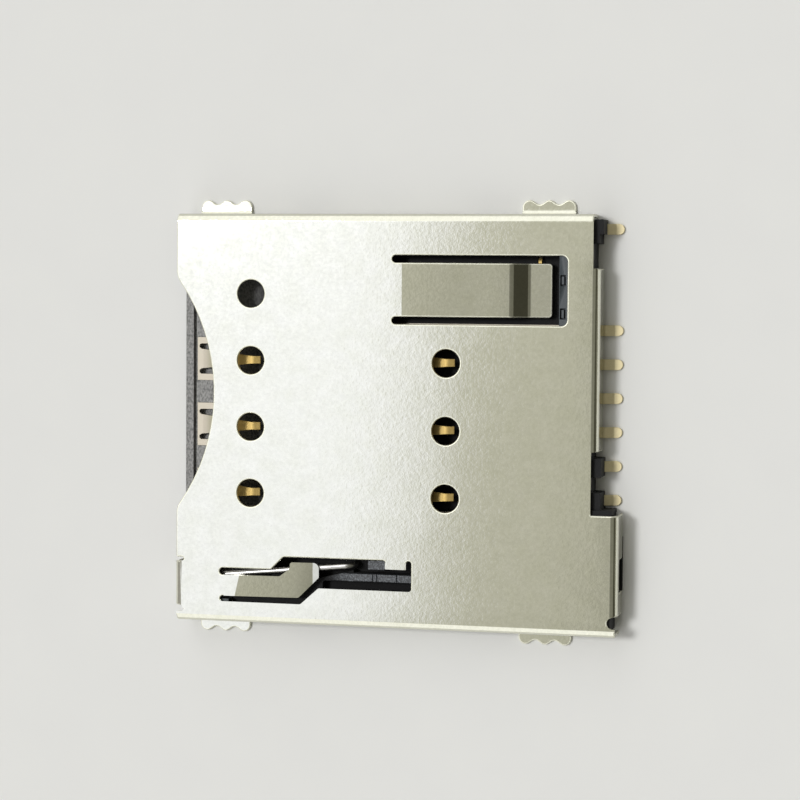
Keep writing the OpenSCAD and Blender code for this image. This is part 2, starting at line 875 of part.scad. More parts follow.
module shell() {
    high = shell_h + eps;
    tab_face = front_x - wall_out;
    color(steel) {
        difference() {
            end_view(front_x, rear_x)
                difference() {
                    arch(side_y, wall_lift, shell_h, fold_out);
                    arch(side_y - sheet, wall_lift - eps, under_z, bend_r);
                }
            plan(under_z - fold_out, high) {
                finger_cut();
                detect_window();
                cam_window();
                for (row = rows) translate([front_col, row]) circle(d = hole_d);
                for (i = [0:2]) translate([rear_col, rows[i]]) circle(d = hole_d);
                // Reliefs at the ends of the front tab, and at the rear corner
                for (y = [front_tab_lo, front_tab_hi])
                    slot([front_x - far, y], [front_x + relief_l, y], relief_w);
                slot(
                    [rear_x - corner_back + corner_w / 2, corner_y - corner_w / 2],
                    [rear_x + far, corner_y - corner_w / 2], corner_w
                );
            }
            // Sheet that is left out or folded down at the rear and the front
            block(wall_x - edge_back, rear_x + far, step_y, side_y + far, 0, high);
            block(wall_face - fold_out, rear_x + far, flange_lo, flange_hi, 0, high);
            block(back_face - fold_out, rear_x + far, corner_y, step_y + eps, 0, high);
            block(front_x - far, tab_face + fold_out, front_tab_lo, front_tab_hi, 0, high);
            // Windows for the snap nubs
            for (x = nub_xs)
                block(
                    x - fit, x + nub_l + fit, -side_y - far, side_y + far,
                    window_z - seat_gap, window_z + nub_h + fit
                );
        }
        end_wall(wall_face, 1, flange_lo, flange_hi, flange_z);
        difference() {
            end_wall(back_face, 1, corner_y, step_y, wall_lift);
            block(step_face, back_face + far, gate_lo, gate_hi, 0, gate_z);
        }
        end_wall(tab_face, -1, front_tab_lo + tab_side, front_tab_hi - relief_w / 2, front_tab_z);
        spring_arm();
        detect_tab();
        for (x = pad_xs) {
            solder_tab(x);
            mirror([0, 1, 0]) solder_tab(x);
        }
    }
}

// Ejector

// Plan of the heart-shaped cam groove, as the pin's tip sees it from the slider
module cam_groove() {
    slot(tip_rest, tip_in, groove_w);
    slot(tip_in, tip_lock, groove_w);
    slot(tip_lock, tip_out, groove_w);
    slot(tip_out, tip_rest, groove_w);
    slot(tip_rest, tip_rest + [run_out, 0], groove_w);
}

// Plan of the pocket beside the ridge
module slider_pocket() {
    lo = slider_lo + pocket_wall;
    hi = pocket_hi;
    end = seat_x - seat_wall;
    polygon(eased([[pocket_x, lo], [end, lo], [end, hi], [pocket_x, hi]], [0, 0, 0, pocket_r]));
}

module slider() {
    color(black)
        difference() {
            union() {
                // Cam deck, wall that takes the spring, and its locating post
                block(slider_front, seat_x, slider_lo, slider_hi, slider_z, deck_z);
                block(seat_x - seat_wall, seat_x, slider_lo, slider_hi, slider_z, slider_top);
                translate([seat_x - eps, spring_y, spring_z])
                    rotate([0, 90, 0]) cylinder(d = post_d, h = post_l + eps);
                // Bar beside the spring, and the pusher that meets the card
                block(seat_x - eps, push_x + push_l, bar_lo, slider_hi, slider_z, slider_top);
                block(push_x, push_x + push_l, bar_lo, push_y, push_z, slider_top);
                // Ridge that the wire drops beside, and the stud next to it
                side_view(ridge_lo, ridge_hi)
                    polygon([
                        [tip_rest.x - ridge_fall, deck_z - eps], [seat_x - eps, deck_z - eps],
                        [seat_x - eps, ridge_z], [tip_rest.x, ridge_z],
                        [tip_rest.x - ridge_fall, deck_z]
                    ]);
                block(stud_x, stud_x + stud_l, stud_lo, stud_hi, deck_z - eps, ridge_z);
            }
            plan(groove_z, under_z) {
                cam_groove();
                slider_pocket();
                slab(tip_rest.x, seat_x - seat_wall, ridge_hi, stud_lo);
            }
            // Seams across the ridge
            for (x = seam_xs)
                translate([tip_rest.x + x, 0, ridge_z - seam_deep])
                    block(-seam_w / 2, seam_w / 2, ridge_lo - eps, ridge_hi + eps, 0, far);
            // Sloped corner that the card's cut corner slides on
            plan(0, under_z)
                polygon([
                    [push_x - eps, push_y + eps], [push_x + push_lead, push_y + eps],
                    [push_x - eps, push_y - push_lead]
                ]);
        }
}

// Quarter bend of the wire, from along +X at the start to down -Z at the end
module wire_bend() {
    translate([0, 0, -pin_bend])
        rotate([90, 0, 0]) rotate_extrude(angle = 90) translate([pin_bend, 0]) circle(d = pin_d);
}

module cam_pin() {
    color(bright)
        translate([pivot_x, pivot_y, pin_z]) rotate([0, 0, pin_swing]) {
            translate([pin_bend, 0, 0]) rotate([0, 90, 0]) cylinder(d = pin_d, h = pin_l - 2 * pin_bend);
            translate([pin_l - pin_bend, 0, 0]) wire_bend();
            translate([pin_bend, 0, 0]) mirror([1, 0, 0]) wire_bend();
            translate([0, 0, pin_leg_low - pin_z]) cylinder(d = pin_d, h = pin_z - pin_leg_low - pin_bend);
            translate([pin_l, 0, groove_z + pin_play - pin_z])
                cylinder(d = pin_d, h = pin_z - groove_z - pin_play - pin_bend);
        }
}

// Coil with closed end turns, swept round the axis along X
coil_sides = 6;
coil_steps = 14;
coil_rest = spring_end - seat_x - spring_wire;
end_pitch = 1.06 * spring_wire;
coil_pitch = (coil_rest - 2 * end_pitch) / (spring_turns - 2);

function coil_x(turn) =
    turn < 1 ? turn * end_pitch
    : turn > spring_turns - 1 ? coil_rest - (spring_turns - turn) * end_pitch
    : end_pitch + (turn - 1) * coil_pitch;

function coil_ring(turn) =
    let (
        out = [0, cos(360 * turn), sin(360 * turn)],
        ahead = unit([coil_pitch / (2 * PI * spring_r), -sin(360 * turn), cos(360 * turn)]),
        side = cross(ahead, out),
        middle = [seat_x + spring_wire / 2 + coil_x(turn), spring_y, spring_z] + spring_r * out
    )
    [
        for (k = [0:coil_sides - 1])
            middle + spring_wire / 2 * (cos(360 * k / coil_sides) * out + sin(360 * k / coil_sides) * side)
    ];

module ejector_spring() {
    rings = spring_turns * coil_steps;
    points = [for (i = [0:rings]) each coil_ring(i / coil_steps)];
    last = rings * coil_sides;
    color(bright)
        polyhedron(
            points,
            concat(
                [[for (k = [0:coil_sides - 1]) k]],
                [
                    for (i = [0:rings - 1])
                        for (k = [0:coil_sides - 1])
                            let (a = i * coil_sides + k, b = i * coil_sides + (k + 1) % coil_sides)
                                each [[a, a + coil_sides, b], [b, a + coil_sides, b + coil_sides]]
                ],
                [[for (k = [coil_sides - 1:-1:0]) last + k]]
            )
        );
}

housing();
shell();
front_contact(rows[0]);  // front_contact_1
front_contact(rows[1]);  // front_contact_2
front_contact(rows[2]);  // front_contact_3
rear_contact(rows[0]);  // rear_contact_1
rear_contact(rows[1]);  // rear_contact_2
rear_contact(rows[2]);  // rear_contact_3
detect_terminal();
slider();
cam_pin();
ejector_spring();
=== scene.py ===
"""Looks of a push-push SIM card socket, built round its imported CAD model. Lengths are in metres unless a comment says
millimetres."""

import math

import bmesh
import bpy
from mathutils import Matrix, Vector
from mathutils.bvhtree import BVHTree
from mathutils.geometry import intersect_point_line


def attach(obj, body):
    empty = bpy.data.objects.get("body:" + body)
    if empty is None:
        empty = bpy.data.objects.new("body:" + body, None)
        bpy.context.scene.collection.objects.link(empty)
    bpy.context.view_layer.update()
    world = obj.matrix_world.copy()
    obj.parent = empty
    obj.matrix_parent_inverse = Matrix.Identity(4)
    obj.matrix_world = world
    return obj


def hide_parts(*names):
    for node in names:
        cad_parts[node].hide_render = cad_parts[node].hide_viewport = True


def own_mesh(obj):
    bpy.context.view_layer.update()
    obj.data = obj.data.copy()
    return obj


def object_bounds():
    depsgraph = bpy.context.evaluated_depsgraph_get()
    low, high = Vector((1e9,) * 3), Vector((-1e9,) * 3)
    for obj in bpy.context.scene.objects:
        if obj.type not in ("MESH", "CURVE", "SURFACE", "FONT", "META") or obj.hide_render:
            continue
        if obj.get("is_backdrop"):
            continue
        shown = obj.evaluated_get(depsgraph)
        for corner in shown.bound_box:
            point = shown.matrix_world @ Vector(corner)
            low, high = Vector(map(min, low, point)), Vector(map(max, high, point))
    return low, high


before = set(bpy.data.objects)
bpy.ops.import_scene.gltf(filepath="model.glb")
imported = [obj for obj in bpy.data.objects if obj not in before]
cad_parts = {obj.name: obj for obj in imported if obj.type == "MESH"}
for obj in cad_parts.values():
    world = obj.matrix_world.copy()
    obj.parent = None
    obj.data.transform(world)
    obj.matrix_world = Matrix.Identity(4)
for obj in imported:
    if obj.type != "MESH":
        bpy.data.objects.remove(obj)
cad_low, cad_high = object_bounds()

# Housing
# The base that everything sits in: floor, side walls, card stop and slider lane in one moulding of black,
# glass-filled liquid crystal polymer, shot round the contacts. Its corners carry the small radius of the mould.
MM = 0.001


def linear(code):
    """Linear colour of an sRGB hex code such as 1E1F22"""
    parts = [int(code[i : i + 2], 16) / 255 for i in (0, 2, 4)]
    return [c / 12.92 if c <= 0.04045 else ((c + 0.055) / 1.055) ** 2.4 for c in parts] + [1]


def fill(tree, node, inputs):
    """Fills inputs of a node with constants, or joins them to (node, output) pairs"""
    for socket, term in inputs.items():
        if isinstance(term, tuple) and isinstance(term[0], bpy.types.Node):
            source, output = term
            tree.links.new(source.outputs[output], node.inputs[socket])
        else:
            node.inputs[socket].default_value = term


def add(tree, kind, inputs=None, **settings):
    """Adds a node with its own settings and its inputs filled"""
    node = tree.nodes.new(kind)
    for field, value in settings.items():
        setattr(node, field, value)
    fill(tree, node, inputs or {})
    return node


def calculate(tree, operation, *terms):
    """Result of a sum, a product or a comparison"""
    return add(tree, "ShaderNodeMath", dict(enumerate(terms)), operation=operation), "Value"


def between(tree, source, low, high):
    """Value that runs from low to high as the source runs from 0 to 1"""
    return add(tree, "ShaderNodeMapRange", {"Value": source, "To Min": low, "To Max": high}), "Result"


def smooth_step(tree, source, none, full):
    """Share that grows smoothly from 0 where the source is none to 1 where it is full"""
    limits = {"Value": source, "From Min": none, "From Max": full}
    return add(tree, "ShaderNodeMapRange", limits, interpolation_type="SMOOTHSTEP"), "Result"


def mix(tree, share, first, second, blend="MIX"):
    """Colour between two colours, by a share from 0 to 1"""
    parts = {"Factor": share, "A": first, "B": second}
    return add(tree, "ShaderNodeMix", parts, data_type="RGBA", blend_type=blend), "Result"


def colour_ramp(tree, source, steps):
    """Colour that runs through steps, each a position and a hex code"""
    node = add(tree, "ShaderNodeValToRGB", {"Fac": source})
    elements = node.color_ramp.elements
    elements.remove(elements[1])
    (start, first), *others = steps
    elements[0].position, elements[0].color = start, linear(first)
    for position, code in others:
        elements.new(position).color = linear(code)
    return node, "Color"


def noise(tree, place, size, detail, roughness=0.5):
    """Cloudy noise with grains of a size"""
    values = {"Vector": place, "Scale": 1 / size, "Detail": detail, "Roughness": roughness}
    return add(tree, "ShaderNodeTexNoise", values), "Fac"


def stretched_noise(tree, place, sizes, detail):
    """Cloudy noise with grains of a size of their own along each axis"""
    counted = add(tree, "ShaderNodeMapping", {"Vector": place, "Scale": [1 / size for size in sizes]})
    return noise(tree, (counted, "Vector"), 1, detail)


def bumps(tree, source, strength, height):
    """Fine unevenness of a surface"""
    return add(tree, "ShaderNodeBump", {"Height": source, "Strength": strength, "Distance": height}), "Normal"


def new_material(name):
    """An empty material, its tree, its Object coordinates and its surface shader"""
    material = bpy.data.materials.new(name)
    material.use_nodes = True
    tree = material.node_tree
    tree.nodes.clear()
    place = add(tree, "ShaderNodeTexCoord"), "Object"
    shader = add(tree, "ShaderNodeBsdfPrincipled")
    add(tree, "ShaderNodeOutputMaterial", {"Surface": (shader, "BSDF")})
    return material, tree, place, shader


def as_mesh(piece):
    """Turns a piece with live modifiers into a plain mesh"""
    bpy.context.view_layer.update()
    made = bpy.data.meshes.new_from_object(piece.evaluated_get(bpy.context.evaluated_depsgraph_get()))
    piece.modifiers.clear()
    piece.data = made
    made.name = piece.name


# Corners of the CAD nodes are rounded in millimetres. Edges sharper than SHARP_CORNER are rounded, and faces that
# meet below KEPT_CORNER are shaded as one. A point further than STRAY roundings from the node, or a face TURNED
# against it, is a fault, and edges within TIGHT roundings of a fault stay sharp in the next of the ATTEMPTS.
SHARP_CORNER, KEPT_CORNER = math.radians(40), math.radians(50)
SAME_POINT, SAME_PLANE = 0.0004, math.radians(0.3)
STRAY, TURNED, TIGHT, ATTEMPTS = 0.75, -0.1, 1.2, 7
BEVEL_SEGMENTS = 2
SPECK, FILL_IN = 1e-7, 1e-6


def faults(mesh, surface, edge):
    """Points at which a rounded mesh is turned over, or lies off the surface that it was made from"""
    points = [corner.co for corner in mesh.vertices if surface.find_nearest(corner.co)[3] > STRAY * edge]
    mesh.calc_loop_triangles()
    for triangle in mesh.loop_triangles:
        corners = [mesh.vertices[i].co for i in triangle.vertices]
        up = surface.find_nearest(sum(corners, Vector()) / 3)[1]
        if triangle.area > SPECK and up.dot(triangle.normal) < TURNED:
            points += corners
    return [Vector(point) for point in points]


def even_normals(mesh):
    """Shades each corner by the faces of the node that meet there at a small angle; the faces that the rounding
    made, which have material index 1, only fill in where there are none"""
    around = [[] for _ in mesh.vertices]
    for face in mesh.polygons:
        ring = [mesh.vertices[i].co for i in face.vertices]
        weight = face.area * (FILL_IN if face.material_index else 1)
        for k, corner in enumerate(face.vertices):
            before, after = ring[k - 1] - ring[k], ring[(k + 1) % len(ring)] - ring[k]
            around[corner].append((face.normal.copy(), weight * before.angle(after, 0)))
    normals = []
    for face in mesh.polygons:
        for corner in face.vertices:
            near = [n * w for n, w in around[corner] if n.angle(face.normal, 0) < KEPT_CORNER]
            normals.append(sum(near, face.normal * SPECK).normalized())
    mesh.normals_split_custom_set(normals)


def rounded_copy(node, name, edge, material, press=None):
    """Copy of a CAD node with its corners rounded by edge, in millimetres, after a function given as press has shaped
    it. Corners too tight to be rounded without a fault stay sharp. The attribute rounded is 1 on the faces of the
    rounding."""
    form = bmesh.new()
    form.from_mesh(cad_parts[node].data)
    form.transform(Matrix.Scale(1 / MM, 4))
    bmesh.ops.remove_doubles(form, verts=form.verts, dist=SAME_POINT)
    bmesh.ops.dissolve_limit(
        form, angle_limit=SAME_PLANE, use_dissolve_boundaries=False, verts=form.verts, edges=form.edges
    )
    if press:
        press(form)
    bmesh.ops.triangulate(form, faces=form.faces)
    surface = BVHTree.FromBMesh(form)
    rounding = form.edges.layers.float.new("bevel_weight_edge")
    for line in form.edges:
        line[rounding] = float(line.calc_face_angle() > SHARP_CORNER)
    piece = bpy.data.objects.new(name, bpy.data.meshes.new(name))
    bpy.context.scene.collection.objects.link(piece)
    for _ in range(ATTEMPTS):
        piece.data = bpy.data.meshes.new(name)
        form.to_mesh(piece.data)
        piece.data.materials.append(material)
        piece.data.materials.append(material)
        bevel = piece.modifiers.new("corner", "BEVEL")
        bevel.width = edge
        bevel.segments = BEVEL_SEGMENTS
        bevel.limit_method = "WEIGHT"
        bevel.use_clamp_overlap = False
        bevel.loop_slide = False
        bevel.material = 1
        as_mesh(piece)
        points = faults(piece.data, surface, edge)
        if not points:
            break
        for line in form.edges:
            start, end = (corner.co for corner in line.verts)
            for point in points if line[rounding] else []:
                along = intersect_point_line(point, start, end)[1]
                if (start.lerp(end, min(max(along, 0), 1)) - point).length < TIGHT * edge:
                    line[rounding] = 0.0
                    break
    form.free()
    piece.data.shade_smooth()
    even_normals(piece.data)
    mark = piece.data.attributes.new("rounded", "FLOAT", "FACE")
    for face in piece.data.polygons:
        mark.data[face.index].value = face.material_index
        face.material_index = 0
    piece.data.materials.pop()
    piece.data.transform(Matrix.Scale(MM, 4))
    return piece


# Liquid crystal polymer, moulded: a dull black. At the mouth, where cards rub it, the short glass fibres show as pale
# grey specks, and the pale grey there is also painted light, a painted sheen of the lit front lip. Upper faces inside
# are smoother, from the polished core of the mould, and painted blue-grey, a painted sheen.
MOUTH_END, MOUTH_START, MOUTH_FACE = -4.4 * MM, -7.4 * MM, -8.485 * MM
STOP_SIDE, STOP_TOP, STOP_BACK = 0.95 * MM, 1.05 * MM, 6.95 * MM
FLOW_LENGTH, FLOW_WIDTH, MOULD_GRAIN = 0.11 * MM, 0.07 * MM, 0.07 * MM
FIBRE_AND_SHEEN_STEPS = ((0.3, "4C4C4B"), (0.75, "A5A4A1"))
LCP_DULL, LCP_RUBBED, LCP_IOR = 0.8, 0.5, 1.5
MOULD_STRENGTH, MOULD_DEPTH = 0.6, 0.006 * MM
lcp, tree, place, shader = new_material("black_moulded_lcp")
where = add(tree, "ShaderNodeSeparateXYZ", {"Vector": place})
flow = stretched_noise(tree, place, (FLOW_WIDTH, FLOW_LENGTH, FLOW_WIDTH), 4)
grain = noise(tree, place, MOULD_GRAIN, 2)
behind_face = calculate(tree, "GREATER_THAN", (where, "X"), MOUTH_FACE)
# Painted sheen: the mouth, where the front lip is lit, is painted pale fibre grey; its front face is not
mouth = calculate(tree, "MULTIPLY", smooth_step(tree, (where, "X"), MOUTH_END, MOUTH_START), behind_face)
before_back = calculate(tree, "LESS_THAN", (where, "X"), STOP_BACK)
polished_and_painted_sheen = calculate(tree, "MULTIPLY", smooth_step(tree, (where, "Z"), STOP_SIDE, STOP_TOP), before_back)
deep = mix(tree, grain, linear("08080A"), linear("111113"))
shade = mix(tree, mouth, deep, colour_ramp(tree, flow, FIBRE_AND_SHEEN_STEPS))
# Painted sheen: the upper faces inside are painted blue-grey
shade = mix(tree, polished_and_painted_sheen, shade, linear("3A4145"))
smoother = calculate(tree, "MAXIMUM", mouth, polished_and_painted_sheen)
fill(
    tree, shader,
    {
        "Base Color": shade, "Roughness": between(tree, smoother, LCP_DULL, LCP_RUBBED), "IOR": LCP_IOR,
        "Normal": bumps(tree, grain, MOULD_STRENGTH, MOULD_DEPTH),
    },
)

HOUSING_EDGE = 0.02
housing = rounded_copy("housing", "housing_moulding", HOUSING_EDGE, lcp)
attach(housing, "base")
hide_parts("housing")

# Contacts
# Six springs stamped from phosphor bronze strip and moulded into the floor. Each has a plate with a tongue
# cut free in it and bent up to meet the card, and a tail that leaves below the rear wall to be soldered.

# Phosphor bronze, nickel-plated all over and gold-flashed on the tongues and, thinner, on the tails: matte metal with
# a faint rolling grain, pale warm grey on the plates, duller at the tongues' roots, yellow on the tongues and pale
# champagne on the tails.
ROLL_LENGTH, ROLL_WIDTH = 0.5 * MM, 0.03 * MM
ROLL_SMOOTH, ROLL_DULL = 0.58, 0.7
TONGUE_FLAT, TONGUE_CLEAR, TONGUE_GOLD = 0.51 * MM, 0.6 * MM, 0.72 * MM
TAIL_NICKEL, TAIL_GOLD = 7.3 * MM, 7.5 * MM
plated_bronze, tree, place, shader = new_material("gold_flashed_phosphor_bronze")
where = add(tree, "ShaderNodeSeparateXYZ", {"Vector": place})
rolled = stretched_noise(tree, place, (ROLL_LENGTH, ROLL_WIDTH, ROLL_WIDTH), 2)
plating = mix(tree, rolled, linear("BDB6A8"), linear("CDC6B8"))
for axis, none, full, low, high in (
    ("Z", TONGUE_FLAT, TONGUE_CLEAR, "A39F8A", "B3AF9A"), ("Z", TONGUE_CLEAR, TONGUE_GOLD, "DABA70", "E8D190"),
    ("X", TAIL_NICKEL, TAIL_GOLD, "D3C79F", "E8DEBE"),
):
    flash = mix(tree, rolled, linear(low), linear(high))
    plating = mix(tree, smooth_step(tree, (where, axis), none, full), plating, flash)
fill(
    tree, shader,
    {"Base Color": plating, "Roughness": between(tree, rolled, ROLL_SMOOTH, ROLL_DULL), "Metallic": 1},
)

CONTACT_EDGE = 0.012
for column in ("front", "rear"):
    for row in (1, 2, 3):
        spring = rounded_copy(
            f"{column}_contact_{row}", f"{column}_contact_stamping_{row}", CONTACT_EDGE, plated_bronze
        )
        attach(spring, "base")
        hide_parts(f"{column}_contact_{row}")

# Detect terminal
# The same plated strip, moulded into the side wall, with a finger under the cover's tab: a card lifts the tab
# off it. Its tail leaves at the rear corner.
detect = rounded_copy("detect_terminal", "detect_stamping", CONTACT_EDGE, plated_bronze)
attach(detect, "base")
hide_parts("detect_terminal")

# Ejector slide
# The moulded slide that the card pushes in, with the heart-shaped cam groove in its deck. It runs loose in its
# lane, so it is a slicker black plastic than the housing.

# Black polyamide, moulded: its upper faces are grey with pale specks, worn and brightened as painted light; below them
# its pockets are painted near black, a painted shade.
SLIDE_GRAIN, SLIDE_SPECK = 0.12 * MM, 0.06 * MM
POCKET_PAINTED_SHADE, DECK_RUBBED_AND_LIT = 0.85 * MM, 1.1 * MM
WORN_AND_LIT_STEPS = ((0.42, "2A2C30"), (0.72, "6C7176"))
POCKET_DULL, DECK_DULL, POLYAMIDE_IOR = 0.85, 0.5, 1.53
SLIDE_STRENGTH, SLIDE_DEPTH = 0.5, 0.005 * MM
polyamide, tree, place, shader = new_material("black_moulded_polyamide")
where = add(tree, "ShaderNodeSeparateXYZ", {"Vector": place})
# Painted light and shade by height: the decks get the lighter speckled grey, the pockets below them near black
rubbed_and_painted_light_deck = smooth_step(tree, (where, "Z"), POCKET_PAINTED_SHADE, DECK_RUBBED_AND_LIT)
grain = noise(tree, place, SLIDE_GRAIN, 2)
worn_and_painted_light = colour_ramp(tree, noise(tree, place, SLIDE_SPECK, 1), WORN_AND_LIT_STEPS)
fill(
    tree, shader,
    {
        "Base Color": mix(tree, rubbed_and_painted_light_deck, linear("030304"), worn_and_painted_light),
        "Roughness": between(tree, rubbed_and_painted_light_deck, POCKET_DULL, DECK_DULL), "IOR": POLYAMIDE_IOR,
        "Normal": bumps(tree, grain, SLIDE_STRENGTH, SLIDE_DEPTH),
    },
)

SLIDE_EDGE = 0.03
slide = rounded_copy("slider", "ejector_slide", SLIDE_EDGE, polyamide)
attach(slide, "ejector")
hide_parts("slider")

# Ejector spring
# A coil of drawn stainless wire with closed end turns, between the slide and the housing's rear wall, on a post
# at each end. It shortens as the slide goes in; here it is built only at its length with the slide out.

# Drawn stainless wire: bright grey metal with fine scratches along it from the die.
DIE_LENGTH, DIE_WIDTH = 0.8 * MM, 0.02 * MM
WIRE_SMOOTH, WIRE_DULL = 0.3, 0.42
wire_steel, tree, place, shader = new_material("drawn_stainless_wire")
drawn = stretched_noise(tree, place, (DIE_LENGTH, DIE_WIDTH, DIE_WIDTH), 2)
fill(
    tree, shader,
    {
        "Base Color": mix(tree, drawn, linear("B4B3B0"), linear("D2D1CE")),
        "Roughness": between(tree, drawn, WIRE_SMOOTH, WIRE_DULL), "Metallic": 1,
    },
)

# Sweep of a round wire along a path of points, with closed ends
WIRE_SIDES = 14
wire_sweep = bpy.data.node_groups.new("round_wire_along_path", "GeometryNodeTree")
wire_sweep.is_modifier = True
wire_sweep.interface.new_socket("Geometry", in_out="INPUT", socket_type="NodeSocketGeometry")
wire_radius_input = wire_sweep.interface.new_socket("Wire radius", in_out="INPUT", socket_type="NodeSocketFloat")
wire_sides_input = wire_sweep.interface.new_socket("Wire sides", in_out="INPUT", socket_type="NodeSocketInt")
wire_finish_input = wire_sweep.interface.new_socket("Finish", in_out="INPUT", socket_type="NodeSocketMaterial")
wire_sweep.interface.new_socket("Geometry", in_out="OUTPUT", socket_type="NodeSocketGeometry")
given = add(wire_sweep, "NodeGroupInput")
path = add(wire_sweep, "GeometryNodeMeshToCurve", {"Mesh": (given, "Geometry")})
round_section = add(
    wire_sweep, "GeometryNodeCurvePrimitiveCircle",
    {"Resolution": (given, "Wire sides"), "Radius": (given, "Wire radius")},
)
swept = add(
    wire_sweep, "GeometryNodeCurveToMesh",
    {"Curve": (path, "Curve"), "Profile Curve": (round_section, "Curve"), "Fill Caps": True},
)
smooth = add(wire_sweep, "GeometryNodeSetShadeSmooth", {"Geometry": (swept, "Mesh")})
real = add(wire_sweep, "GeometryNodeRealizeInstances", {"Geometry": (smooth, "Geometry")})
finished = add(
    wire_sweep, "GeometryNodeSetMaterial", {"Geometry": (real, "Geometry"), "Material": (given, "Finish")}
)
add(wire_sweep, "NodeGroupOutput", {"Geometry": (finished, "Geometry")})


def wire_piece(name, points, diameter):
    """A piece of wire that follows points"""
    line = bpy.data.meshes.new(name)
    line.from_pydata(points, [(i, i + 1) for i in range(len(points) - 1)], [])
    piece = bpy.data.objects.new(name, line)
    bpy.context.scene.collection.objects.link(piece)
    sweep = piece.modifiers.new("wire", "NODES")
    sweep.node_group = wire_sweep
    sweep[wire_radius_input.identifier] = diameter / 2
    sweep[wire_sides_input.identifier] = WIRE_SIDES
    sweep[wire_finish_input.identifier] = wire_steel
    as_mesh(piece)
    return piece


COIL_START, COIL_END = 1.303 * MM, 8.0 * MM
COIL_Y, COIL_Z = -6.54 * MM, 0.79 * MM
COIL_WIRE, COIL_OUTSIDE, COIL_TURNS, TURN_STEPS = 0.16 * MM, 0.98 * MM, 11, 28
CLOSED_PITCH = 1.06 * COIL_WIRE


def coil_points():
    """Middle of the coil's wire, from the slide to the rear wall; the end turns lie closed on their seats"""
    reach = COIL_END - COIL_START - COIL_WIRE
    open_pitch = (reach - 2 * CLOSED_PITCH) / (COIL_TURNS - 2)
    radius = (COIL_OUTSIDE - COIL_WIRE) / 2
    for step in range(COIL_TURNS * TURN_STEPS + 1):
        turn = step / TURN_STEPS
        if turn < 1:
            x = turn * CLOSED_PITCH
        elif turn > COIL_TURNS - 1:
            x = reach - (COIL_TURNS - turn) * CLOSED_PITCH
        else:
            x = CLOSED_PITCH + (turn - 1) * open_pitch
        angle = 2 * math.pi * turn
        yield (
            COIL_START + COIL_WIRE / 2 + x, COIL_Y + radius * math.cos(angle), COIL_Z + radius * math.sin(angle)
        )


coil = wire_piece("ejector_coil", list(coil_points()), COIL_WIRE)
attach(coil, "base")
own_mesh(coil)
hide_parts("ejector_spring")

# Cam pin
# A length of the same drawn wire with both ends bent down: one end turns in the housing's front block, the
# other rides in the slide's groove and holds it in when it drops into the heart's notch.
PIN_PIVOT = (-6.9 * MM, -6.0525 * MM)
PIN_LENGTH, PIN_WIRE, PIN_BEND = 5.33 * MM, 0.25 * MM, 0.3 * MM
PIN_HEIGHT, PIN_FOOT, PIN_TIP = 1.07 * MM, 0.3 * MM, 0.44 * MM
PIN_SWING = math.radians(5.8)
BEND_STEPS = 8


def pin_points():
    """Middle of the pin's wire, from the end in the block to the end in the groove"""
    bend = []
    for step in range(BEND_STEPS + 1):
        angle = math.pi / 2 * step / BEND_STEPS
        bend.append((PIN_BEND * (1 - math.cos(angle)), PIN_HEIGHT - PIN_BEND * (1 - math.sin(angle))))
    far_bend = [(PIN_LENGTH - reach, height) for reach, height in reversed(bend)]
    for reach, height in [(0, PIN_FOOT), *bend, *far_bend, (PIN_LENGTH, PIN_TIP)]:
        yield (
            PIN_PIVOT[0] + reach * math.cos(PIN_SWING), PIN_PIVOT[1] + reach * math.sin(PIN_SWING), height
        )


pin = wire_piece("cam_wire", list(pin_points()), PIN_WIRE)
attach(pin, "pin")
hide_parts("cam_pin")

# Cover
# One sheet of plated steel, stamped and folded: its arm presses on the cam wire, its long tab is the detect
# switch, and its lobed feet are soldered down. It snaps over the housing's nubs.

# Tin-plated stainless sheet: a satin, slightly green-grey silver that blurs what it mirrors, duller along its sheared
# edges. Its walls and all of it between its feet and its top face are painted darker, a painted shade. The plating
# stands in fine dimples, a little coarser here than they are so that they show.
DIMPLE, CLOUD = 0.12 * MM, 0.7 * MM
DIMPLE_ROUGH, DIMPLE_STRENGTH, DIMPLE_DEPTH = 0.6, 0.6, 0.0027 * MM
DIMPLE_LOW, DIMPLE_HIGH, DIMPLE_TONE = 0.3, 0.7, 0.91
WALL_FOOT, WALL_LOW, WALL_HIGH, WALL_TOP, WALL_SHADE_TONE = 0.25 * MM, 0.4 * MM, 1.28 * MM, 1.36 * MM, 0.76
SHEET_SMOOTH, SHEET_DULL, SHEARED_DULL = 0.04, 0.08, 0.58
tinned_steel, tree, place, shader = new_material("satin_tinned_steel_sheet")
where = add(tree, "ShaderNodeSeparateXYZ", {"Vector": place})
sheared = add(tree, "ShaderNodeAttribute", attribute_name="rounded")
dimple = noise(tree, place, DIMPLE, 2, DIMPLE_ROUGH)
speck = add(
    tree, "ShaderNodeMapRange",
    {"Value": dimple, "From Min": DIMPLE_LOW, "From Max": DIMPLE_HIGH, "To Min": DIMPLE_TONE, "To Max": 1},
)
# Painted shade: the sheet is darker between its feet and its top face
above_foot = smooth_step(tree, (where, "Z"), WALL_FOOT, WALL_LOW)
below_top = smooth_step(tree, (where, "Z"), WALL_TOP, WALL_HIGH)
painted_wall_shade = between(tree, calculate(tree, "MULTIPLY", above_foot, below_top), 1, WALL_SHADE_TONE)
tone = mix(tree, noise(tree, place, CLOUD, 2), linear("E1E1CE"), linear("EEEDE0"))
tone = mix(tree, 1, tone, (speck, "Result"), "MULTIPLY")
tone = mix(tree, 1, tone, painted_wall_shade, "MULTIPLY")
flat = between(tree, dimple, SHEET_SMOOTH, SHEET_DULL)
fill(
    tree, shader,
    {
        "Base Color": tone, "Roughness": between(tree, (sheared, "Fac"), flat, SHEARED_DULL), "Metallic": 1,
        "Normal": bumps(tree, dimple, DIMPLE_STRENGTH, DIMPLE_DEPTH),
    },
)

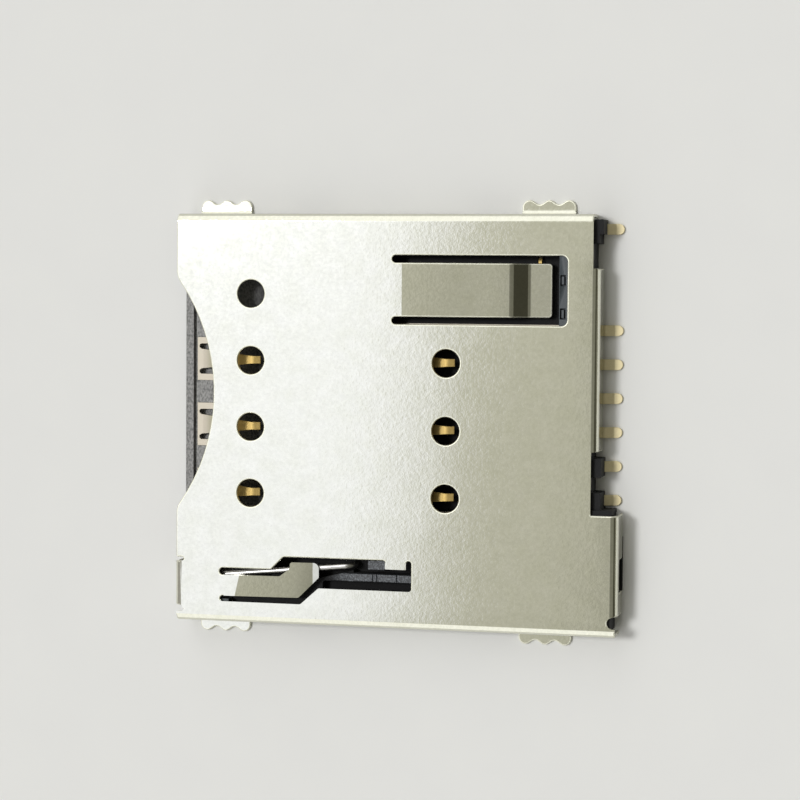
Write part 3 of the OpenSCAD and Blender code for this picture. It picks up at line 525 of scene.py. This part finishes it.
# The spring arm is coined: its top falls a little more than its underside, from the slanting fold on, up to a level
# pad at its tip. In millimetres.
SHEET_TOP, SHEET_MIDDLE = 1.5, 1.425
ARM_SLOPE, COINED_SLOPE = math.tan(math.radians(2.4)), 0.034
ARM_FOLD, ARM_FALL = Vector((-6.07, -6.4075)), Vector((0.974, -0.225))
ARM_START, ARM_END, PAD_LENGTH, PAD_BEND = -6.2, -2.8, 0.33, 0.03
ARM_LEFT, ARM_RIGHT = ((-4.57, -5.87), (-4.08, -5.345)), ((-3.65, -6.92), (-2.8, -6.07))


def on_arm(point):
    """Whether a point of the cover lies on its spring arm, as seen from above"""
    sides = []
    for (near_x, near_y), (far_x, far_y) in (ARM_LEFT, ARM_RIGHT):
        share = min(max((point.x - near_x) / (far_x - near_x), 0), 1)
        sides.append(near_y + share * (far_y - near_y))
    return ARM_START < point.x < ARM_END and sides[1] < point.y < sides[0]


def coin_arm(form):
    """Presses the top of the spring arm in a copy of the cover"""
    crease = ARM_END - PAD_LENGTH
    for cut in (crease, crease + PAD_BEND):
        arm = [face for face in form.faces if on_arm(face.calc_center_median())]
        parts = {part for face in arm for part in (face, *face.edges, *face.verts)}
        bmesh.ops.bisect_plane(form, geom=list(parts), dist=SAME_POINT, plane_co=(cut, 0, 0), plane_no=(1, 0, 0))
    for corner in form.verts:
        reach = (corner.co.xy - ARM_FOLD).dot(ARM_FALL)
        if on_arm(corner.co) and reach > 0 and corner.co.z > SHEET_MIDDLE - ARM_SLOPE * reach:
            reach -= max(corner.co.x - crease, 0) * ARM_FALL.x
            corner.co.z = min(corner.co.z, SHEET_TOP - (ARM_SLOPE + COINED_SLOPE) * reach)


COVER_EDGE = 0.05
cover = rounded_copy("shell", "folded_cover", COVER_EDGE, tinned_steel, coin_arm)
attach(cover, "base")
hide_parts("shell")

# Floor, light and camera
# A plain pale table in a studio with one lamp over the front of the socket, seen from almost straight above.

# Paper: matte and almost white, with a hardly visible grain.
FLOOR_HALF = 2.0
FLOOR_GRAIN, FLOOR_ROUGH = 3 * MM, 0.9
paper, tree, place, shader = new_material("matte_pale_paper")
fibre = noise(tree, place, FLOOR_GRAIN, 4)
fill(
    tree, shader, {"Base Color": mix(tree, fibre, linear("E2E2E0"), linear("E6E6E3")), "Roughness": FLOOR_ROUGH}
)
floor_mesh = bpy.data.meshes.new("table_top")
corners = [(-1, -1), (1, -1), (1, 1), (-1, 1)]
floor_mesh.from_pydata([(x * FLOOR_HALF, y * FLOOR_HALF, 0) for x, y in corners], [], [(0, 1, 2, 3)])
floor_mesh.materials.append(paper)
floor = bpy.data.objects.new("table_top", floor_mesh)
bpy.context.scene.collection.objects.link(floor)
floor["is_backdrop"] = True

# The room, by how far a direction leans to the front: dim behind the socket and above it, a bright panel over its
# front and a plain wall beyond. A tall panel stands on each side, and a dark doorway behind. Of each pair of limits,
# the first is where a thing fades out and the second where it is full. The camera itself sees paper.
ROOM_LEVEL, LEVEL_RIGHT, LEVEL_LEFT = 1.3, (-0.17, 0.97), (0.02, 1.05)
ROOM_LEAN = (-1, 0.06, 0)
ROOM_STEPS = (
    (-1, "757469"), (-0.3, "73726A"), (-0.1, "7C7B73"), (0.04, "AFAEA6"), (0.08, "ACABA3"), (0.12, "9B9A91"),
    (0.148, "B1B0A7"), (0.19, "B1B0A7"), (0.243, "F1F3FF"), (0.42, "F1F3FF"), (0.55, "969492"), (1, "969492"),
)
SIDE_PANEL, SIDE_SHIFT = "F6F6F5", 0.12
SIDE_EDGE, SIDE_BACK, SIDE_FRONT = (0.24, 0.36), (-0.1, 0.02), (0.6, 0.5)
DOORWAY = "403F36"
DOOR_FRONT, DOOR_SIDE, DOOR_TOP, DOOR_SILL = (-0.35, -0.6), (0.45, 0.3), (0.72, 0.6), (0.26, 0.36)
PAPER_SEEN = "DDDDD9"
room = bpy.data.worlds.new("studio_room")
bpy.context.scene.world = room
room.use_nodes = True
tree = room.node_tree
tree.nodes.clear()
direction = add(tree, "ShaderNodeTexCoord"), "Generated"
across = add(tree, "ShaderNodeSeparateXYZ", {"Vector": direction})
aside = calculate(tree, "ABSOLUTE", calculate(tree, "ADD", (across, "Y"), SIDE_SHIFT))
lean = add(tree, "ShaderNodeVectorMath", {0: direction, 1: ROOM_LEAN}, operation="DOT_PRODUCT"), "Value"
spread = add(tree, "ShaderNodeMapRange", {"Value": lean, "From Min": -1, "From Max": 1})
air = colour_ramp(tree, (spread, "Result"), [((step + 1) / 2, code) for step, code in ROOM_STEPS])
for code, limits in (
    (SIDE_PANEL, ((aside, SIDE_EDGE), (lean, SIDE_BACK), (lean, SIDE_FRONT))),
    (DOORWAY, ((lean, DOOR_FRONT), (aside, DOOR_SIDE), ((across, "Z"), DOOR_TOP), ((across, "Z"), DOOR_SILL))),
):
    share = 1
    for source, (none, full) in limits:
        share = calculate(tree, "MULTIPLY", share, smooth_step(tree, source, none, full))
    air = mix(tree, share, air, linear(code))
level = add(
    tree, "ShaderNodeMapRange",
    {
        "Value": (across, "Y"), "From Min": LEVEL_RIGHT[0], "From Max": LEVEL_LEFT[0],
        "To Min": ROOM_LEVEL * LEVEL_RIGHT[1], "To Max": ROOM_LEVEL * LEVEL_LEFT[1],
    },
)
sky = add(tree, "ShaderNodeBackground", {"Color": air, "Strength": (level, "Result")})
backdrop = add(tree, "ShaderNodeBackground", {"Color": linear(PAPER_SEEN)})
ray = add(tree, "ShaderNodeLightPath")
seen = add(
    tree, "ShaderNodeMixShader",
    {"Fac": (ray, "Is Camera Ray"), 1: (sky, "Background"), 2: (backdrop, "Background")},
)
add(tree, "ShaderNodeOutputWorld", {"Surface": (seen, "Shader")})

# The lamp over the front and the left side
LAMP_FROM = Vector((-0.41, 0.16, 1))
LAMP_ENERGY, LAMP_ANGLE = 1.34, math.radians(12)
lamp = bpy.data.lights.new("front_lamp", "SUN")
lamp.energy = LAMP_ENERGY
lamp.angle = LAMP_ANGLE
lamp_object = bpy.data.objects.new("front_lamp", lamp)
lamp_object.rotation_euler = LAMP_FROM.to_track_quat("Z", "Y").to_euler()
bpy.context.scene.collection.objects.link(lamp_object)

# The photo's camera: its place, and its own three axes as columns
FOCAL_PIXELS, PHOTO_WIDTH, SENSOR = 2286, 800, 36
NEAREST = 1 * MM
CAMERA_PLACE = (20.157 * MM, 5.42 * MM, 84.954 * MM)
CAMERA_AXES = (
    (0.97276162, -0.01960911, 0.23097688),
    (0.00750387, 0.99855721, 0.05317131),
    (-0.23168627, -0.04998979, 0.97150527),
)
camera = bpy.data.cameras.new("overhead")
camera.sensor_width = SENSOR
camera.lens = SENSOR * FOCAL_PIXELS / PHOTO_WIDTH
camera.clip_start = NEAREST
camera_object = bpy.data.objects.new("overhead", camera)
camera_object.matrix_world = Matrix.Translation(CAMERA_PLACE) @ Matrix(CAMERA_AXES).to_4x4()
bpy.context.scene.collection.objects.link(camera_object)
bpy.context.scene.camera = camera_object
bpy.context.scene.view_settings.view_transform = "Standard"

bpy.context.view_layer.update()
low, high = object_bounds()
{"cad": [list(cad_low), list(cad_high)], "visual": [list(low), list(high)]}
